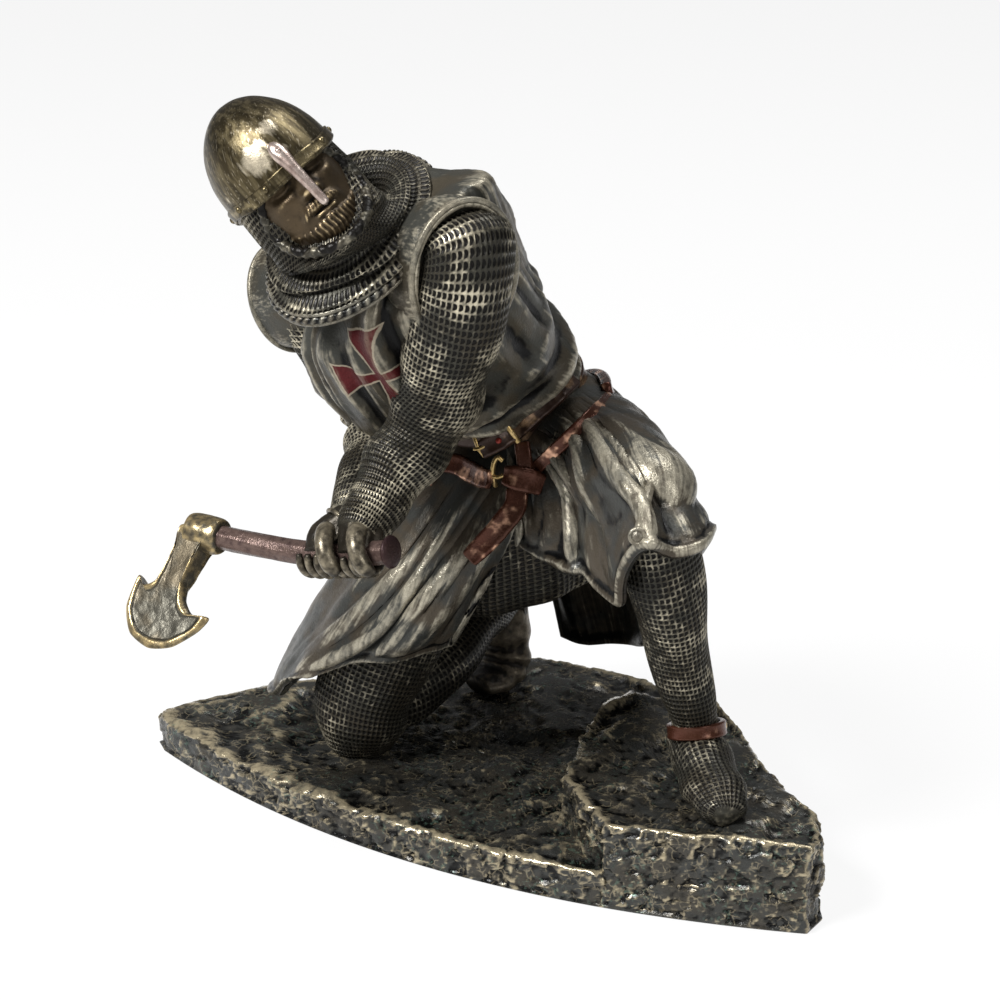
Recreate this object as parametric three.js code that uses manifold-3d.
// A kneeling medieval knight with an axe, cast in bronze finish, on a rough rock base.
// Millimetres, +Z up. The origin is the middle of the base's flat underside, +X runs along
// the base from its pointed end to the raised block, and -Y is the long curved front edge.

import * as THREE from 'three';
import { mergeVertices } from 'three/addons/utils/BufferGeometryUtils.js';
import Module from 'manifold-3d';

const wasm = await Module();
wasm.setup();

// Driving dimensions of the base
const BASE_LENGTH = 195;
const FRONT_BULGE = 20;
const BACK_REACH = 92;
const SLAB_THICKNESS = 9;
const BLOCK_RISE = 12.7;
const ROCK_ROUGHNESS = 0.8;

// Driving dimensions of the figure and its axe
const STATURE = 270;
const HAFT_DIAMETER = 5.6;
const EYE_WALL = 1.7;
const BLADE_LENGTH = 30;
const BLADE_THICKNESS = 6.6;
const EDGE_THICKNESS = 1.2;
const BELT_WIDTH = 6.4;
const BELT_THICKNESS = 1.2;
const CLOTH_THICKNESS = 2.6;

// Fits
const PIECE_GAP = 0.3;
const SEAT_DEPTH = 0.6;

// Where the figure stands on the base, and how far the main view is turned from its front
const FIGURE_PLACE = [0.1, -5];
const MAIN_VIEW_TURN = THREE.MathUtils.degToRad(32.4);

// The figure is drawn in parts of 270 of its standing height, from the slab's top:
// x to the right and y away in the main view, z up.
const PART = STATURE / 270;
const STEP_UP = BLOCK_RISE / PART;

// Vectors and curves

const vec = (p) => new THREE.Vector3(...p);
const along = (a, b, t) => vec(a).lerp(vec(b), t);
const bump = (x, middle, width) => Math.exp(-(((x - middle) / width) ** 2));

// Smooth curve through rows of numbers; place runs from 0 to the last row.
function between(rows, place) {
  const low = Math.max(0, Math.min(Math.floor(place), rows.length - 2));
  const t = place - low;
  const row = (k) => rows[Math.max(0, Math.min(rows.length - 1, k))];
  return rows[low].map((b, n) => {
    const a = row(low - 1)[n];
    const c = row(low + 1)[n];
    const d = row(low + 2)[n];
    return b + 0.5 * t * (c - a + t * (2 * a - 5 * b + 4 * c - d + t * (3 * (b - c) + d - a)));
  });
}

// Left, front and up of a body part, from its up direction and a rough left direction.
function frameOf(up, leftHint) {
  const rise = vec(up).normalize();
  const left = vec(leftHint);
  left.addScaledVector(rise, -left.dot(rise)).normalize();
  const front = new THREE.Vector3().crossVectors(left, rise);
  return { left, front, up: rise };
}

// One cross-section: its centre, its frame and its half-widths to the left and to the front.
function hoop(centre, frame, toLeft, toFront) {
  const left = frame.left.clone().multiplyScalar(toLeft);
  const front = frame.front.clone().multiplyScalar(toFront);
  return [...centre, ...left.toArray(), ...front.toArray()];
}

// Solids

function solidOf(points, faces) {
  let volume = 0;
  for (const [a, b, c] of faces) {
    volume += points[a].dot(new THREE.Vector3().crossVectors(points[b], points[c]));
  }
  const outward = volume < 0 ? faces.map(([a, b, c]) => [a, c, b]) : faces;
  const mesh = new wasm.Mesh({
    numProp: 3,
    vertProperties: new Float32Array(points.flatMap((p) => p.toArray())),
    triVerts: new Uint32Array(outward.flat()),
  });
  return new wasm.Manifold(mesh);
}

function solidFromGeometry(geometry) {
  geometry.deleteAttribute('normal');
  geometry.deleteAttribute('uv');
  const merged = mergeVertices(geometry, 1e-4);
  const place = merged.getAttribute('position');
  const points = [];
  for (let k = 0; k < place.count; k += 1) {
    points.push(new THREE.Vector3().fromBufferAttribute(place, k));
  }
  const faces = [];
  for (let k = 0; k < merged.index.count; k += 3) {
    faces.push([0, 1, 2].map((n) => merged.index.getX(k + n)));
  }
  return solidOf(points, faces);
}

// Closed skin through rings of points, with both ends fanned shut.
function ringSkin(rings) {
  const size = rings[0].length;
  const points = rings.flat();
  const faces = [];
  for (let k = 0; k < rings.length - 1; k += 1) {
    for (let i = 0; i < size; i += 1) {
      const a = k * size + i;
      const b = k * size + (i + 1) % size;
      faces.push([a, b, b + size], [a, b + size, a + size]);
    }
  }
  for (const [start, turn] of [[0, 1], [(rings.length - 1) * size, -1]]) {
    const middle = new THREE.Vector3();
    for (let i = 0; i < size; i += 1) {
      middle.addScaledVector(points[start + i], 1 / size);
    }
    points.push(middle);
    for (let i = 0; i < size; i += 1) {
      const pair = [start + i, start + (i + 1) % size];
      faces.push([points.length - 1, pair[turn > 0 ? 1 : 0], pair[turn > 0 ? 0 : 1]]);
    }
  }
  return solidOf(points, faces);
}

// Skin through hoops. relief(angle, place) adds to the radius; angle 0 is the front and a
// quarter turn is the left.
function skinThrough(hoops, { sides = 12, steps = 2, relief = () => 0 } = {}) {
  const rings = [];
  const last = (hoops.length - 1) * steps;
  for (let k = 0; k <= last; k += 1) {
    const row = between(hoops, k / steps);
    const centre = vec(row.slice(0, 3));
    const left = vec(row.slice(3, 6));
    const front = vec(row.slice(6, 9));
    const ring = [];
    for (let i = 0; i < sides; i += 1) {
      const angle = (2 * Math.PI * i) / sides;
      const way = front.clone().multiplyScalar(Math.cos(angle));
      way.addScaledVector(left, Math.sin(angle));
      const swell = 1 + relief(angle, k / last) / way.length();
      ring.push(centre.clone().addScaledVector(way, swell));
    }
    rings.push(ring);
  }
  return ringSkin(rings);
}

// Hoops square to a path. Each row is x, y, z and the half-widths to the left and the front.
function limbHoops(rows, leftHint) {
  return rows.map((row, k) => {
    const ahead = vec(rows[Math.min(k + 1, rows.length - 1)].slice(0, 3));
    const behind = vec(rows[Math.max(k - 1, 0)].slice(0, 3));
    const frame = frameOf(ahead.sub(behind).toArray(), leftHint);
    return hoop(row.slice(0, 3), frame, row[3], row[4]);
  });
}

const limb = (rows, leftHint, options) => skinThrough(limbHoops(rows, leftHint), options);

// Closed skin over two grids of points, front then back, joined round their rims
function gridSkin(points, columns, rowsDown) {
  const back = (columns + 1) * (rowsDown + 1);
  const at = (i, j) => j * (columns + 1) + i;
  const faces = [];
  for (let j = 0; j < rowsDown; j += 1) {
    for (let i = 0; i < columns; i += 1) {
      const [a, b, c, d] = [at(i, j), at(i + 1, j), at(i + 1, j + 1), at(i, j + 1)];
      faces.push([a, b, c], [a, c, d]);
      faces.push([back + a, back + c, back + b], [back + a, back + d, back + c]);
    }
  }
  const rim = [];
  for (let i = 0; i < columns; i += 1) rim.push([at(i, 0), at(i + 1, 0)]);
  for (let j = 0; j < rowsDown; j += 1) rim.push([at(columns, j), at(columns, j + 1)]);
  for (let i = columns; i > 0; i -= 1) rim.push([at(i, rowsDown), at(i - 1, rowsDown)]);
  for (let j = rowsDown; j > 0; j -= 1) rim.push([at(0, j), at(0, j - 1)]);
  for (const [a, b] of rim) {
    faces.push([b, a, back + a], [b, back + a, back + b]);
  }
  return solidOf(points, faces);
}

// A thick sheet whose middle surface is pointAt(u, w), with u and w from 0 to 1.
function sheet(pointAt, columns, rowsDown, thickness) {
  const grid = [];
  const tiny = 1e-3;
  for (let j = 0; j <= rowsDown; j += 1) {
    for (let i = 0; i <= columns; i += 1) {
      const u = i / columns;
      const w = j / rowsDown;
      const across = pointAt(Math.min(u + tiny, 1), w).sub(pointAt(Math.max(u - tiny, 0), w));
      const down = pointAt(u, Math.min(w + tiny, 1)).sub(pointAt(u, Math.max(w - tiny, 0)));
      const outward = across.cross(down).normalize();
      grid.push({ at: pointAt(u, w), outward });
    }
  }
  const sides = [0.5, -0.5].map((half) => grid.map(
    ({ at, outward }) => at.clone().addScaledVector(outward, half * thickness)));
  return gridSkin(sides.flat(), columns, rowsDown);
}

// A flat band that stands its thickness off the surface it lies on and is sunk into it below.
function band(stations, closed) {
  const rings = stations.map(({ at, outward, side }) => [[1, 1], [-1, 1], [-1, -1.4], [1, -1.4]].map(
    ([w, t]) => at.clone()
      .addScaledVector(side, (w * BELT_WIDTH) / 2)
      .addScaledVector(outward, t * BELT_THICKNESS)));
  if (!closed) return ringSkin(rings);
  const points = rings.flat();
  const faces = [];
  for (let k = 0; k < rings.length; k += 1) {
    const next = (k + 1) % rings.length;
    for (let i = 0; i < 4; i += 1) {
      const [a, b] = [k * 4 + i, k * 4 + (i + 1) % 4];
      const [c, d] = [next * 4 + (i + 1) % 4, next * 4 + i];
      faces.push([a, b, c], [a, c, d]);
    }
  }
  return solidOf(points, faces);
}

function join(solids) {
  return solids.reduce((whole, piece) => whole.add(piece));
}

// Keeps the one body of a solid: its outer skin with every pocket sealed inside filled.
function largest(solid) {
  return solid.decompose().reduce((a, b) => (b.volume() > a.volume() ? b : a));
}

// The figure's frames

const HIP = frameOf([-0.1, -0.1, 1], [0.93, -0.34, 0.2]);
const WAIST = frameOf([-0.3, -0.3, 0.9], [0.9, -0.38, 0.2]);
const SHOULDERS = frameOf([-0.507, -0.02, 0.862], [0.645, -0.661, 0.379]);
const NECK = frameOf([-0.39, -0.44, 0.81], [0.78, -0.51, 0.1]);
const HEAD = frameOf([-0.68, 0.25, 0.689], [0.721, 0.374, 0.578]);
const BRIM = [-54.7, -45.2, 163.3];

// A point on the head's own axis, lower by drop and further to the front by forward.
function onHead(drop, forward = 0) {
  return vec(BRIM).addScaledVector(HEAD.up, -drop).addScaledVector(HEAD.front, forward).toArray();
}

// Limbs that carry the cloth: from, to and the radius at each end.
const RIGHT_THIGH = { from: [-14, 15, 80], to: [-42, 4, 15], wide: 14.6, narrow: 12.6 };
const LEFT_THIGH = { from: [8, 7, 87], to: [28.5, -51, 91], wide: 14.5, narrow: 9 };
const RIGHT_SHANK = { from: [-42, 4, 12], to: [-7, 41, 25], wide: 10.5, narrow: 7 };

// Moves a point of cloth out until it clears a limb, softly.
function offLimb(point, limbs, clearance) {
  const moved = point.clone();
  for (const { from, to, wide, narrow } of limbs) {
    const axis = vec(to).sub(vec(from));
    const t = THREE.MathUtils.clamp(moved.clone().sub(vec(from)).dot(axis) / axis.lengthSq(), 0, 1);
    const foot = along(from, to, t);
    const away = moved.clone().sub(foot);
    const distance = away.length();
    const least = wide + (narrow - wide) * t + clearance;
    const soft = 4;
    const wanted = 0.5 * (distance + least + Math.hypot(distance - least, soft)) - 0.35 * soft;
    if (wanted > distance) moved.copy(foot).addScaledVector(away, wanted / distance);
  }
  return moved;
}

// Body under the surcoat, and the surcoat's upper part

function torso() {
  const hoops = [
    hoop([-4, 9, 80], HIP, 14, 11),
    hoop([-4, 6, 88], HIP, 18, 14.5),
    hoop([-5, 2, 97], WAIST, 19.5, 16.5),
    hoop([-12, -8, 106.5], WAIST, 24.6, 22.5),
    hoop([-21, -18, 117.5], frameOf([-0.5, -0.4, 0.8], [0.75, -0.55, 0.3]), 29.5, 28),
    hoop([-27.4, -27, 131], SHOULDERS, 30.6, 26),
    hoop([-29.5, -29.5, 142.5], SHOULDERS, 28.8, 19.6),
    hoop([-32, -33, 150.5], SHOULDERS, 26.5, 16.5),
    hoop([-36.5, -36, 155.5], NECK, 17, 12.5),
  ];
  const wrinkles = (angle, place) => {
    const waist = Math.sin(place * 58 - 2.2 * angle) * bump(place, 0.34, 0.1);
    const ridge = bump(angle, 0.35, 0.2) * bump(place, 0.62, 0.2);
    const behind = bump(Math.abs(angle - Math.PI), 0, 1.1) * bump(place, 0.42, 0.22);
    const shoulder = bump(angle, 1.95, 0.5) * bump(place, 0.86, 0.12);
    const flank = bump(angle, 2.3, 0.6) * bump(place, 0.5, 0.13);
    const blade = bump(angle, 2.55, 0.55) * bump(place, 0.74, 0.12);
    const fallen = 1.2 * Math.cos(5 * angle) * behind;
    return waist + 1.8 * ridge + fallen + 2.4 * shoulder + 2.2 * blade - 2.2 * flank;
  };
  return skinThrough(hoops, { sides: 20, steps: 2, relief: wrinkles });
}

// Shoulder caps of the surcoat: an oval armhole whose rim stands round a sunk opening
function shoulderCap(start, end, outward, height, width) {
  const frame = frameOf(outward, [0, 0, 1]);
  const at = (t) => along(start, end, t).toArray();
  return skinThrough([
    hoop(at(0), frame, 0.75 * height, 0.95 * width),
    hoop(at(0.6), frame, height, 1.04 * width),
    hoop(at(0.93), frame, height, width),
    hoop(at(1), frame, 0.93 * height, 0.9 * width),
    hoop(at(0.9), frame, 0.85 * height, 0.8 * width),
  ], { sides: 14, steps: 1 });
}

const shoulderCaps = () => [
  shoulderCap([-25, -38, 141], [-13.4, -56, 141.5], [0.42, -0.9, -0.1], 18.6, 12.4),
  shoulderCap([-44, -22, 131], [-57, -10, 125.5], [-0.62, 0.7, -0.35], 13, 11),
];

// Mail sleeves

const LEFT_ARM = [
  [-20, -46, 149, 9, 9], [-13.2, -53, 149.5, 10.8, 10.8], [-14.8, -53, 137.5, 11, 11.2],
  [-18.2, -49, 121.5, 9.7, 10.6], [-21.6, -43, 107, 9.9, 10], [-29.3, -48, 95.5, 8.5, 8.8],
  [-35, -56, 88, 6.8, 6.8], [-37.2, -60, 85.5, 5.8, 5.8],
];
const RIGHT_ARM = [
  [-43, -20, 131, 8, 8], [-50, -15.5, 126.5, 10.4, 10.4], [-44, -17, 116, 10, 10],
  [-35.8, -18, 104, 9.6, 9.6], [-33.6, -22, 95.5, 9.2, 9.2], [-35, -36, 91.5, 8, 8],
  [-38, -50, 87.5, 6.8, 6.8], [-40, -55.5, 85, 5.8, 5.8],
];
const ARM_LEFT_HINT = [0.6, -0.6, 0.4];

// Folds of loose mail at the inner elbow
const elbowFolds = (angle, place) => 0.7 * Math.sin(place * 44) * bump(place, 0.55, 0.16);

// Axe haft, from the blade's eye to the pommel, and the axe's own directions

const HAFT = [[-77, -41, 77], [-51, -57, 78], [-30, -69.5, 83]];
const EYE_PLACE = 0.05;
const haftPoint = (t) => vec(between(HAFT, 2 * t));
const haftWay = (t) => haftPoint(t + 0.01).sub(haftPoint(t - 0.01)).normalize();

function haftRows(radius, start, end, count) {
  return Array.from({ length: count }, (_, k) => {
    const t = start + ((end - start) * k) / (count - 1);
    return [...haftPoint(t).toArray(), radius, radius];
  });
}

// Gripping hands: a palm that closes round the haft in four fingers, a thumb and a cuff
function hand(grip, wristRow, thumbSide) {
  const reach = 0.085;
  const way = haftWay(grip).toArray();
  const back = vec(wristRow).sub(haftPoint(grip));
  const frame = frameOf(way, back.toArray());
  const fist = Array.from({ length: 9 }, (_, k) => {
    const t = grip - reach + (2 * reach * k) / 8;
    const ends = k === 0 || k === 8 ? 0.72 : 1;
    const knuckle = k % 2 === 1 ? 6.5 : 5.8;
    const centre = haftPoint(t).addScaledVector(frame.left, 0.6);
    return hoop(centre.toArray(), frame, (knuckle + 0.6) * ends, knuckle * ends);
  });
  const palm = [
    [...haftPoint(grip).addScaledVector(frame.left, -1).toArray(), 5.6, 5.2],
    [...haftPoint(grip).addScaledVector(frame.left, 3.5).toArray(), 6.2, 5.6],
    [...along(haftPoint(grip).toArray(), wristRow, 0.75).toArray(), 6.2, 6],
    [...wristRow, 7.2, 7.2],
    [...along(haftPoint(grip).toArray(), wristRow, 1.25).toArray(), 7.4, 7.4],
  ];
  const thumbBase = haftPoint(grip + thumbSide * 0.03).addScaledVector(frame.left, 5.4);
  const thumb = [0, 1, 2, 3].map((k) => {
    const t = grip + thumbSide * (0.02 + 0.028 * k);
    const turn = 1.05 - 0.5 * k;
    const at = haftPoint(t).addScaledVector(frame.left, 5.6 * Math.sin(turn));
    at.addScaledVector(frame.front, -5.6 * Math.cos(turn));
    return [...at.toArray(), 2, 2];
  });
  return join([
    skinThrough(fist, { sides: 10, steps: 1 }),
    limb(palm, way, { sides: 8, steps: 1 }),
    limb([[...thumbBase.toArray(), 2.4, 2.4], ...thumb], way, { sides: 6, steps: 1 }),
  ]);
}

// Head, coif and helmet

function head() {
  const hoops = [
    hoop(onHead(-4), HEAD, 11, 13.5),
    hoop(onHead(3), HEAD, 11.9, 14.4),
    hoop(onHead(9, 0.3), HEAD, 11.2, 13.8),
    hoop(onHead(14, 0.8), HEAD, 9.6, 12.4),
    hoop(onHead(18, 1.6), HEAD, 7.4, 9.8),
    hoop(onHead(21.5, 2.4), HEAD, 3.8, 5.6),
  ];
  return skinThrough(hoops, { sides: 10, steps: 1 });
}

function helmet() {
  const height = 20.3;
  const rise = [0, 0.2, 0.42, 0.64, 0.82, 0.95];
  const hoops = rise.map((share) => {
    const round = (1 - share ** 2.2) ** 0.55;
    return hoop(onHead(-share * height), HEAD, 14.3 * round, 16.6 * round);
  });
  hoops.unshift(hoop(onHead(1.4), HEAD, 14.3, 16.6));
  return skinThrough(hoops, { sides: 16, steps: 1 });
}

function nasal() {
  return limb([
    [...onHead(-9.5, 14.2), 1.1, 0.8], [...onHead(-6, 16), 1.6, 1.2], [...onHead(-3, 16.6), 2.1, 1.4],
    [...onHead(0, 17), 1.9, 1.5], [...onHead(5, 17.5), 1.6, 1.4], [...onHead(11.2, 18.2), 1.2, 1.1],
  ], HEAD.left.toArray(), { sides: 8, steps: 1 });
}

// The coif's hood leaves the face open, and its cape falls in rolls to a seamed rim.
function coif() {
  const hood = [
    hoop(onHead(-3), HEAD, 13, 15),
    hoop(onHead(4), HEAD, 13.6, 15.4),
    hoop(onHead(11), HEAD, 13.8, 15),
    hoop(onHead(17.5, -1), frameOf([-0.6, 0, 0.75], [0.75, -0.1, 0.5]), 14, 14.8),
  ];
  const cape = [
    hoop([-40, -45, 154], NECK, 17.5, 17.5),
    hoop([-37, -44, 151.5], NECK, 21.8, 22),
    hoop([-35.2, -43.6, 149.4], NECK, 24.2, 24.4),
    hoop([-34.4, -42.4, 147], NECK, 24, 24.4),
    hoop([-34, -40, 145], NECK, 20, 20),
  ];
  const folds = (angle, place) => {
    const turn = Math.min(angle, 2 * Math.PI - angle);
    const above = 1 - THREE.MathUtils.smoothstep(place, 0.3, 0.4);
    const face = (-4.5 * above) / (1 + Math.exp((turn - 0.95) * 9));
    const rolls = 0.9 * Math.sin(place * 52 + 1.4 * Math.cos(angle)) * bump(place, 0.62, 0.16);
    return face + rolls;
  };
  return skinThrough([...hood, ...cape], { sides: 18, steps: 2, relief: folds });
}

// Legs in mail

const RIGHT_LEG = [
  [-17, 14, 70, 12, 12], [-26.5, 9.5, 48, 13.6, 13.6], [-34.5, 6.5, 31, 13.6, 13.6],
  [-40, 4.6, 17.5, 12.9, 12.9], [-41.8, 3.8, 8.6, 11.6, 11.6], [-42.2, 3.6, 3, 9, 9],
  [-42.2, 3.6, -SEAT_DEPTH / PART, 5.5, 5.5],
];
// Each row of the calf gives its radius as a share of the shank's wide end.
const RIGHT_CALF = [
  [-42, 3, 14, 0.857], [-31, 12, 14.5, 0.971], [-20, 24.5, 19.5, 0.895],
  [-12, 36, 24.5, 0.724], [-6.5, 44, 26, 0.61], [-4, 48, 26, 0.429],
].map(([x, y, z, share]) => [x, y, z, share * RIGHT_SHANK.wide, share * RIGHT_SHANK.wide]);
const RIGHT_FOOT = [
  [-5.5, 51, 30, 4.6, 4], [-5, 49.5, 22, 6.8, 6], [-4.4, 48, 12, 7.2, 5.4],
  [-5, 46, 5.6, 7.4, 5.2], [-8, 42.5, 2.8, 7, 3.2], [-12, 39, 2.2, 5, 2.6],
];
const LEFT_UPPER_LEG = [
  [6, 10, 87, 11, 11], [12.5, -8, 88.5, 12, 12], [20, -29, 90.5, 10.6, 10.6],
  [26, -45, 91, 8.6, 8.6], [28.5, -51, 90.6, 6.6, 6.6], [29.5, -54, 90, 4, 4],
];
const LEFT_LOWER_LEG = [
  [27.4, -50, 95.5, 5.4, 5.4], [28.4, -51, 89, 8.6, 9], [31, -50.6, 75, 9.2, 9.8],
  [34, -48, 61, 8.5, 9.2], [37, -45, 46, 7, 7.6], [39.8, -42.6, 34, 5.9, 6.2],
  [41.2, -39.8, 14 + STEP_UP, 5.4, 5.8], [41.5, -38.5, 7 + STEP_UP, 6, 6.6],
];
const LEFT_FOOT = [
  [40.4, -29.5, 5.6 + STEP_UP, 4.2, 4.4], [41.2, -34, 6.4 + STEP_UP, 6.4, 6.4],
  [42.4, -42, 6.8 + STEP_UP, 7, 7.2], [43.8, -50.5, 5.8 + STEP_UP, 7.4, 6.2],
  [45.4, -58.5, 4.8 + STEP_UP, 7.2, 5.2], [46.3, -64.5, 4 + STEP_UP, 5.8, 4.4],
  [46.8, -67.5, 3.4 + STEP_UP, 3, 2.6],
];
const LEG_LEFT_HINT = [0.9, 0.3, 0];
const REAR_FOOT_HINT = [0.8, -0.6, 0];

function legs(grow) {
  const grown = (rows) => rows.map(([x, y, z, a, b]) => [x, y, z, a + grow, b + grow]);
  return [
    limb(grown(RIGHT_LEG), LEG_LEFT_HINT, { sides: 14, steps: 1 }),
    limb(grown(RIGHT_CALF), REAR_FOOT_HINT, { sides: 10, steps: 1 }),
    limb(grown(RIGHT_FOOT), REAR_FOOT_HINT, { sides: 10, steps: 1 }),
    limb(grown(LEFT_UPPER_LEG), LEG_LEFT_HINT, { sides: 10, steps: 1 }),
    limb(grown(LEFT_LOWER_LEG), LEG_LEFT_HINT, { sides: 12, steps: 1 }),
    limb(grown(LEFT_FOOT), LEG_LEFT_HINT, { sides: 10, steps: 1 }),
  ];
}

// Mail skirt of the hauberk, which hangs between the thighs

function hauberk() {
  const frame = frameOf([-0.32, 0, 1], [0.93, -0.33, 0.3]);
  const hoops = [
    hoop([-3, 6, 84], HIP, 14, 11),
    hoop([-3.5, 7, 68], frame, 19, 14.5),
    hoop([-3, 9.5, 54], frame, 23, 16.5),
    hoop([-2.5, 12, 43], frame, 23.5, 16.5),
    hoop([-2.5, 12.5, 41], frame, 20, 13),
  ];
  const ripple = (angle, place) => 0.9 * Math.cos(9 * angle) * place;
  return skinThrough(hoops, { sides: 18, steps: 1, relief: ripple });
}

// Skirts of the surcoat: each falls from the belt through a middle curve to its hem

const SKIRT_TOP = { centre: [-3.5, 3, 93], toLeft: 17.5, toFront: 14.5 };

function skirtTop(degrees) {
  const angle = THREE.MathUtils.degToRad(degrees);
  return vec(SKIRT_TOP.centre)
    .addScaledVector(WAIST.left, SKIRT_TOP.toLeft * Math.sin(angle))
    .addScaledVector(WAIST.front, SKIRT_TOP.toFront * Math.cos(angle))
    .add(new THREE.Vector3(0, 0, 3 * Math.max(0, Math.sin(angle))));
}

// Columns: the angle at the belt in degrees, then the middle and the hem.
const RIGHT_SKIRT = {
  columns: [
    [42, -6, -21, 58, -17, -9, 35.5],
    [18, -19, -27, 54, -31, -15, 34.5],
    [-8, -32, -27, 50, -49, -10, 29],
    [-38, -47, -8, 48, -66, 13, 11],
    [-75, -46, 25, 50, -55, 33, 10],
    [-110, -30, 38, 54, -35, 46, 15],
    [-145, -14, 40, 54, -14.4, 46, 18],
    [-180, 1, 36, 56, 1.2, 45, 18],
  ],
  folds: 6,
  limbs: [RIGHT_THIGH, RIGHT_SHANK],
};
const LEFT_SKIRT = {
  columns: [
    [10, 0, -21, 76, -2, -23, 67],
    [24, 8, -30, 84, 6.6, -35, 66],
    [36, 14, -38, 92, 15, -46, 67],
    [48, 20, -44, 98, 22, -59, 66],
    [60, 24, -52, 103, 25, -72, 84.5],
    [74, 29.5, -52, 101, 34, -73, 82.5],
    [90, 31, -42, 98, 43, -59, 83],
    [105, 31, -18, 98, 40, -36, 69],
    [122, 30, 2, 96, 40, -6, 44],
    [140, 23, 20, 80, 34, 26, 20],
    [160, 8, 32, 64, 22, 42, 13.5],
    [180, 0, 34, 60, 10, 44, 14],
  ],
  folds: 8,
  limbs: [LEFT_THIGH],
};

function skirtPoint({ columns, folds, limbs }, u, w) {
  const [degrees, ...rest] = between(columns, u * (columns.length - 1));
  const middle = vec(rest.slice(0, 3));
  const hem = vec(rest.slice(3, 6));
  const point = skirtTop(degrees).multiplyScalar((1 - w) ** 2)
    .addScaledVector(middle, 2 * w * (1 - w))
    .addScaledVector(hem, w * w);
  const draped = offLimb(point, limbs, 0.3);
  const outward = draped.clone().sub(vec(SKIRT_TOP.centre)).setZ(0).normalize();
  const depth = 1.6 * THREE.MathUtils.smoothstep(w, 0.2, 0.8);
  return draped.addScaledVector(outward, depth * Math.cos(2 * Math.PI * folds * u));
}

function skirt(shape, columns) {
  return sheet((u, w) => skirtPoint(shape, u, w), columns, 5, CLOTH_THICKNESS / PART);
}

// Belts: one round the waist, one slung over the hips with its end hanging

function waistBelt() {
  const count = 24;
  const stations = Array.from({ length: count }, (_, k) => {
    const angle = (2 * Math.PI * k) / count;
    const outward = WAIST.left.clone().multiplyScalar(Math.sin(angle));
    outward.addScaledVector(WAIST.front, Math.cos(angle));
    const at = vec([-5, 1.5, 98])
      .addScaledVector(WAIST.left, 19.8 * Math.sin(angle))
      .addScaledVector(WAIST.front, 16.8 * Math.cos(angle));
    return { at, outward, side: WAIST.up };
  });
  return band(stations, true);
}

// Place on the skirts at an angle round the belt line: the seam is the front slit
function onSkirts(degrees, w) {
  const shape = degrees > 26 ? LEFT_SKIRT : RIGHT_SKIRT;
  const last = shape.columns.length - 1;
  const turnAt = (u) => Math.abs(between(shape.columns, u * last)[0] - degrees);
  let nearest = 0;
  for (let k = 0; k <= 200; k += 1) {
    if (turnAt(k / 200) < turnAt(nearest)) nearest = k / 200;
  }
  return skirtPoint(shape, nearest, w);
}

// How far down each skirt the slung belt lies, as a share of the way to the hem
const LEFT_SLING_DROP = 0.155;
const RIGHT_SLING_DROP = 0.11;

function swordBelt() {
  const count = 24;
  const turnAt = (k) => 180 - (360 * k) / count;
  const places = Array.from({ length: count }, (_, k) => {
    const drop = turnAt(k) > 26 ? LEFT_SLING_DROP : RIGHT_SLING_DROP;
    return onSkirts(turnAt(k), drop).toArray();
  });
  const smooth = places.map((_, k) => {
    const around = [-1, 0, 1].map((step) => places[(k + step + count) % count]);
    return [0, 1, 2].map((n) => around.reduce((sum, p) => sum + p[n], 0) / around.length);
  });
  const stations = smooth.map((at, k) => {
    const way = vec(smooth[(k + 1) % count]).sub(vec(smooth[(k - 1 + count) % count])).normalize();
    const outward = new THREE.Vector3().crossVectors(WAIST.up, way).normalize();
    const place = vec(at).addScaledVector(outward, 1.8);
    return { at: place, outward, side: new THREE.Vector3().crossVectors(way, outward) };
  });
  return band(stations, true);
}

function strapEnd() {
  const rows = [
    [1.5, -19.5, 87], [-0.5, -22.5, 83.5], [-4.5, -24.5, 77.5], [-9, -24.5, 70.4], [-14, -24, 63.4],
  ];
  const stations = Array.from({ length: 9 }, (_, k) => {
    const at = between(rows, k / 2);
    const ahead = vec(between(rows, Math.min(k / 2 + 0.05, 4)));
    const way = ahead.sub(vec(between(rows, Math.max(k / 2 - 0.05, 0))));
    const outward = vec([-0.1, -1, 0.1]).normalize();
    return { at: vec(at), outward, side: way.normalize().cross(outward).normalize() };
  });
  return band(stations, false);
}

// A belt buckle: a small upright frame with a bar
function buckle(at, turnDegrees) {
  const frame = new THREE.Shape();
  frame.absellipse(0, 0, 2.6, 4, 0, 2 * Math.PI);
  const hole = new THREE.Path();
  hole.absellipse(0, 0, 1.6, 2.8, 0, 2 * Math.PI, true);
  frame.holes.push(hole);
  const plate = new THREE.ExtrudeGeometry(frame, { depth: 4, bevelEnabled: false, curveSegments: 3 });
  plate.translate(0, 0, -2);
  plate.rotateX(Math.PI / 2);
  plate.rotateY(THREE.MathUtils.degToRad(turnDegrees));
  plate.rotateZ(THREE.MathUtils.degToRad(-12));
  plate.translate(...at);
  return solidFromGeometry(plate);
}

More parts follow.
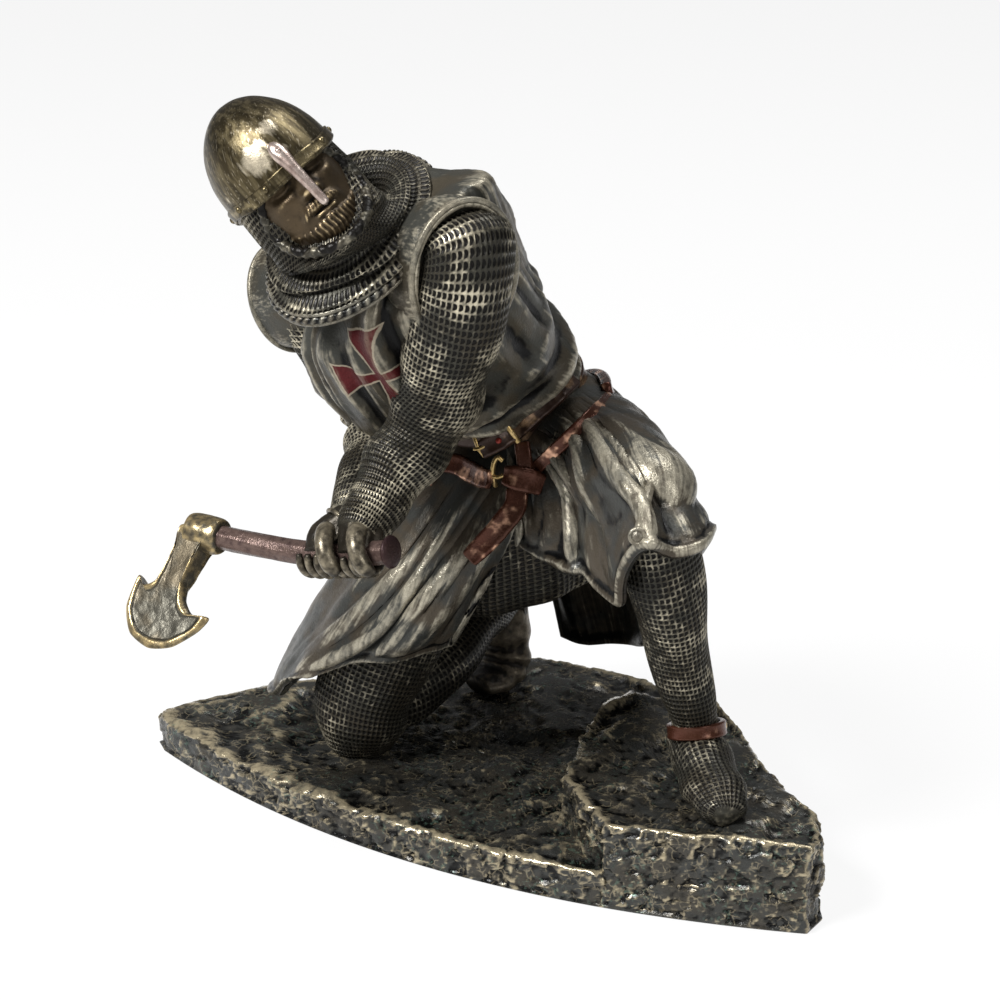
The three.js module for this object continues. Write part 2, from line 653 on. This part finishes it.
// The whole figure in its own parts
function figure() {
  const skirts = [skirt(RIGHT_SKIRT, 20), skirt(LEFT_SKIRT, 27)];
  const cloth = [torso(), ...shoulderCaps(), ...skirts, hauberk()];
  const mail = [
    limb(LEFT_ARM, ARM_LEFT_HINT, { sides: 12, relief: elbowFolds }),
    limb(RIGHT_ARM, ARM_LEFT_HINT, { sides: 10, steps: 1 }),
    coif(),
    ...legs(0),
  ];
  const hands = [
    hand(0.77, LEFT_ARM.at(-1).slice(0, 3), 1),
    hand(0.6, RIGHT_ARM.at(-1).slice(0, 3), 1),
  ];
  const trim = [head(), helmet(), nasal(), waistBelt(), swordBelt(), strapEnd(),
    buckle([-7.5, -20.5, 92.5], 20), buckle([-7.5, -24, 85.5], 8)];
  return join([...cloth, ...mail, ...hands, ...trim]);
}

// Axe

function haft(radius, start, end) {
  return limb(haftRows(radius, start, end, 7), [0, 0, 1], { sides: 10, steps: 1 });
}

// The blade's outline: first along the haft towards the far end, then down the blade,
// both as shares of the blade's length.
const BLADE_OUTLINE = [
  [-0.1, -0.04], [-0.07, 0.12], [-0.05, 0.3], [-0.04, 0.42], [-0.09, 0.56], [-0.2, 0.66],
  [-0.36, 0.66], [-0.31, 0.79], [-0.14, 0.95], [0.07, 1], [0.29, 0.915], [0.42, 0.71],
  [0.405, 0.45], [0.32, 0.51], [0.22, 0.44], [0.17, 0.28], [0.15, 0.12], [0.16, -0.04],
];

function axeHead() {
  const eye = haftPoint(EYE_PLACE);
  const out = haftWay(EYE_PLACE).negate();
  const down = vec([-0.277, -0.62, -0.733]);
  down.addScaledVector(out, -down.dot(out)).normalize();
  const face = new THREE.Vector3().crossVectors(out, down);
  const curve = new THREE.CatmullRomCurve3(
    BLADE_OUTLINE.map(([a, b]) => new THREE.Vector3(a, b, 0)), true, 'catmullrom', 0.35);
  const rim = curve.getPoints(36).slice(0, -1);
  const size = BLADE_LENGTH / PART;
  const halfThickness = (share) => {
    const thinned = THREE.MathUtils.smoothstep(share, 0.1, 0.95);
    return THREE.MathUtils.lerp(BLADE_THICKNESS, EDGE_THICKNESS, thinned) / PART / 2;
  };
  const place = (p, side, shrink) => {
    const middle = new THREE.Vector3(0.05, 0.5, 0);
    const q = p.clone().lerp(middle, shrink);
    return eye.clone().addScaledVector(out, q.x * size).addScaledVector(down, q.y * size)
      .addScaledVector(face, side * halfThickness(q.y));
  };
  const shape = [[-1, 0.06], [-1, 0], [1, 0], [1, 0.06]];
  const blade = ringSkin(shape.map(([side, shrink]) => rim.map((p) => place(p, side, shrink))));
  const socketRadius = (HAFT_DIAMETER / 2 + EYE_WALL) / PART;
  const socketRow = (t, share) => [...haftPoint(t).toArray(), socketRadius * share, socketRadius * share];
  const socket = limb([
    socketRow(-0.065, 0.55), socketRow(-0.05, 0.9), socketRow(-0.03, 1), socketRow(0.1, 1),
    socketRow(0.145, 0.92), socketRow(0.155, 0.7),
  ], [0, 0, 1], { sides: 12, steps: 1 });
  return join([blade, socket]);
}

function pommel() {
  const rows = [[0.945, 0.75], [0.96, 1.2], [0.985, 1.35], [1.01, 1], [1.02, 0.4]];
  const radius = HAFT_DIAMETER / 2 / PART;
  return limb(rows.map(([t, share]) => [...haftPoint(t).toArray(), radius * share, radius * share]),
    [0, 0, 1], { sides: 10, steps: 1 });
}

const axe = join([haft(HAFT_DIAMETER / 2 / PART, 0, 1), axeHead(), pommel()]);
const haftRoom = haft((HAFT_DIAMETER / 2 + PIECE_GAP) / PART, -0.02, 0.93);
const pommelRoom = haft((HAFT_DIAMETER * 0.68 + PIECE_GAP) / PART, 0.915, 1.04);

// Base. Plan corners are shares of the base's length and of its reach to the back.

const BACK_CORNERS = [
  [0, 0.02], [0.03, 0.19], [0.07, 0.33], [0.3, 0.9], [0.36, 0.97], [0.52, 1], [0.655, 0.77],
  [0.75, 0.6], [0.865, 0.355], [0.965, 0.2], [1, 0.09], [1, 0],
];
const BLOCK_CORNERS = [
  [0.78, -0.5], [0.76, -0.2], [0.745, -0.13], [0.69, -0.06], [0.645, 0.03], [0.6, 0.28],
  [0.575, 0.5], [0.585, 0.66], [0.655, 0.77], [0.7, 1.3],
];
const OUTER_CORNERS = [[-0.1, 1.3], [-0.1, -0.5]];

// Repeatable roughness from -1 to 1
function rough(a, b) {
  const wave = Math.sin(a * 12.99 + b * 78.23) * 43758.5;
  return 2 * (wave - Math.floor(wave)) - 1;
}

// Points a step apart from the first corner up to the last, which is left out
function spaced(corners, step) {
  const points = [];
  corners.slice(1).forEach(([nextX, nextY], k) => {
    const [x, y] = corners[k];
    const count = Math.max(1, Math.round(Math.hypot(nextX - x, nextY - y) / step));
    for (let i = 0; i < count; i += 1) {
      points.push([x + ((nextX - x) * i) / count, y + ((nextY - y) * i) / count]);
    }
  });
  return points;
}

// Rough wall on an outline, closed flat above and below
function roughWall(outline, bottom, top, seed) {
  const middle = [0, 1].map((n) => outline.reduce((sum, p) => sum + p[n], 0) / outline.length);
  const ring = (z, level, spread) => outline.map(([x, y], k) => {
    const dx = x - middle[0];
    const dy = y - middle[1];
    const far = Math.hypot(dx, dy);
    const out = 1 + (ROCK_ROUGHNESS * spread * rough(k, level + seed)) / far;
    return new THREE.Vector3(middle[0] + dx * out, middle[1] + dy * out, z);
  });
  const height = top - bottom;
  return ringSkin([
    ring(bottom, 0, 0.3), ring(bottom + 0.35 * height, 1, 0.8), ring(bottom + 0.75 * height, 2, 1),
    ring(top + 4, 3, 0.6),
  ]);
}

// Ground of slaty rock: a rough face at a height, over the whole plan
function ground(height, seed, columns, rowsDeep) {
  const spanX = BASE_LENGTH + 12;
  const spanY = FRONT_BULGE + BACK_REACH + 12;
  const points = [];
  for (const top of [true, false]) {
    for (let j = 0; j <= rowsDeep; j += 1) {
      for (let i = 0; i <= columns; i += 1) {
        const stray = (n) => 0.3 * rough(i + n, j + seed + n);
        const heave = ROCK_ROUGHNESS * (rough(i + seed, j) + 0.5 * Math.sin(0.4 * i + 0.9 * j));
        const x = ((i + stray(3)) / columns - 0.5) * spanX;
        const y = ((j + stray(5)) / rowsDeep - 0.5) * spanY;
        points.push(new THREE.Vector3(x, y, top ? height + heave : -2));
      }
    }
  }
  return gridSkin(points, columns, rowsDeep);
}

// The long curved front of the base in plan
function frontEdge(from, to, count) {
  return Array.from({ length: count }, (_, k) => {
    const share = from + ((to - from) * k) / (count - 1);
    return [(share - 0.5) * BASE_LENGTH, -FRONT_BULGE * 4 * share * (1 - share)];
  });
}

// The rock is cut down to the slab everywhere outside the raised block
function base() {
  const shift = (BACK_REACH - FRONT_BULGE) / 2;
  const planned = (corners, step) => spaced(
    corners.map(([s, t]) => [(s - 0.5) * BASE_LENGTH, t * BACK_REACH]), step);
  const centred = (points) => points.map(([x, y]) => [x, y - shift]);
  const top = SLAB_THICKNESS + BLOCK_RISE;
  const outline = centred([...frontEdge(1, 0, 19).slice(0, -1), ...planned(BACK_CORNERS, 12)]);
  const beyond = centred(planned([...BLOCK_CORNERS, ...OUTER_CORNERS, BLOCK_CORNERS[0]], 11));
  const rock = roughWall(outline, 0, top, 0).intersect(ground(top, 7, 18, 10));
  const cut = roughWall(beyond, 0, top + 4, 5).subtract(ground(SLAB_THICKNESS, 0, 18, 10));
  return rock.subtract(cut);
}

// Assembly: the figure and axe stand on the slab, turned to the base

const stand = new THREE.Matrix4()
  .makeTranslation(FIGURE_PLACE[0], FIGURE_PLACE[1], SLAB_THICKNESS)
  .multiply(new THREE.Matrix4().makeRotationZ(MAIN_VIEW_TURN))
  .multiply(new THREE.Matrix4().makeScale(PART, PART, PART));

const standing = (solid) => solid.transform(stand.elements);

function meshOf(name, solid, { color, roughness, metalness }) {
  const { vertProperties, triVerts, numProp } = solid.getMesh();
  const positions = new Float32Array((vertProperties.length / numProp) * 3);
  for (let k = 0; k < positions.length / 3; k += 1) {
    positions.set(vertProperties.subarray(k * numProp, k * numProp + 3), k * 3);
  }
  const geometry = new THREE.BufferGeometry();
  geometry.setAttribute('position', new THREE.BufferAttribute(positions, 3));
  geometry.setIndex(new THREE.BufferAttribute(new Uint32Array(triVerts), 1));
  const mesh = new THREE.Mesh(geometry, new THREE.MeshStandardMaterial({ color, roughness, metalness }));
  mesh.name = name;
  return mesh;
}

const contact = standing(join(legs(PIECE_GAP / PART)));
const knight = largest(standing(figure().subtract(haftRoom).subtract(pommelRoom)));
const rockBase = largest(base().subtract(contact));

const statue = new THREE.Group();
statue.add(
  meshOf('rock_base', rockBase, { color: 0x3a3c36, roughness: 0.62, metalness: 0.5 }),
  meshOf('knight', knight, { color: 0x55564f, roughness: 0.45, metalness: 0.7 }),
  meshOf('axe', standing(axe), { color: 0x8a7342, roughness: 0.4, metalness: 0.8 }),
);

export default statue;
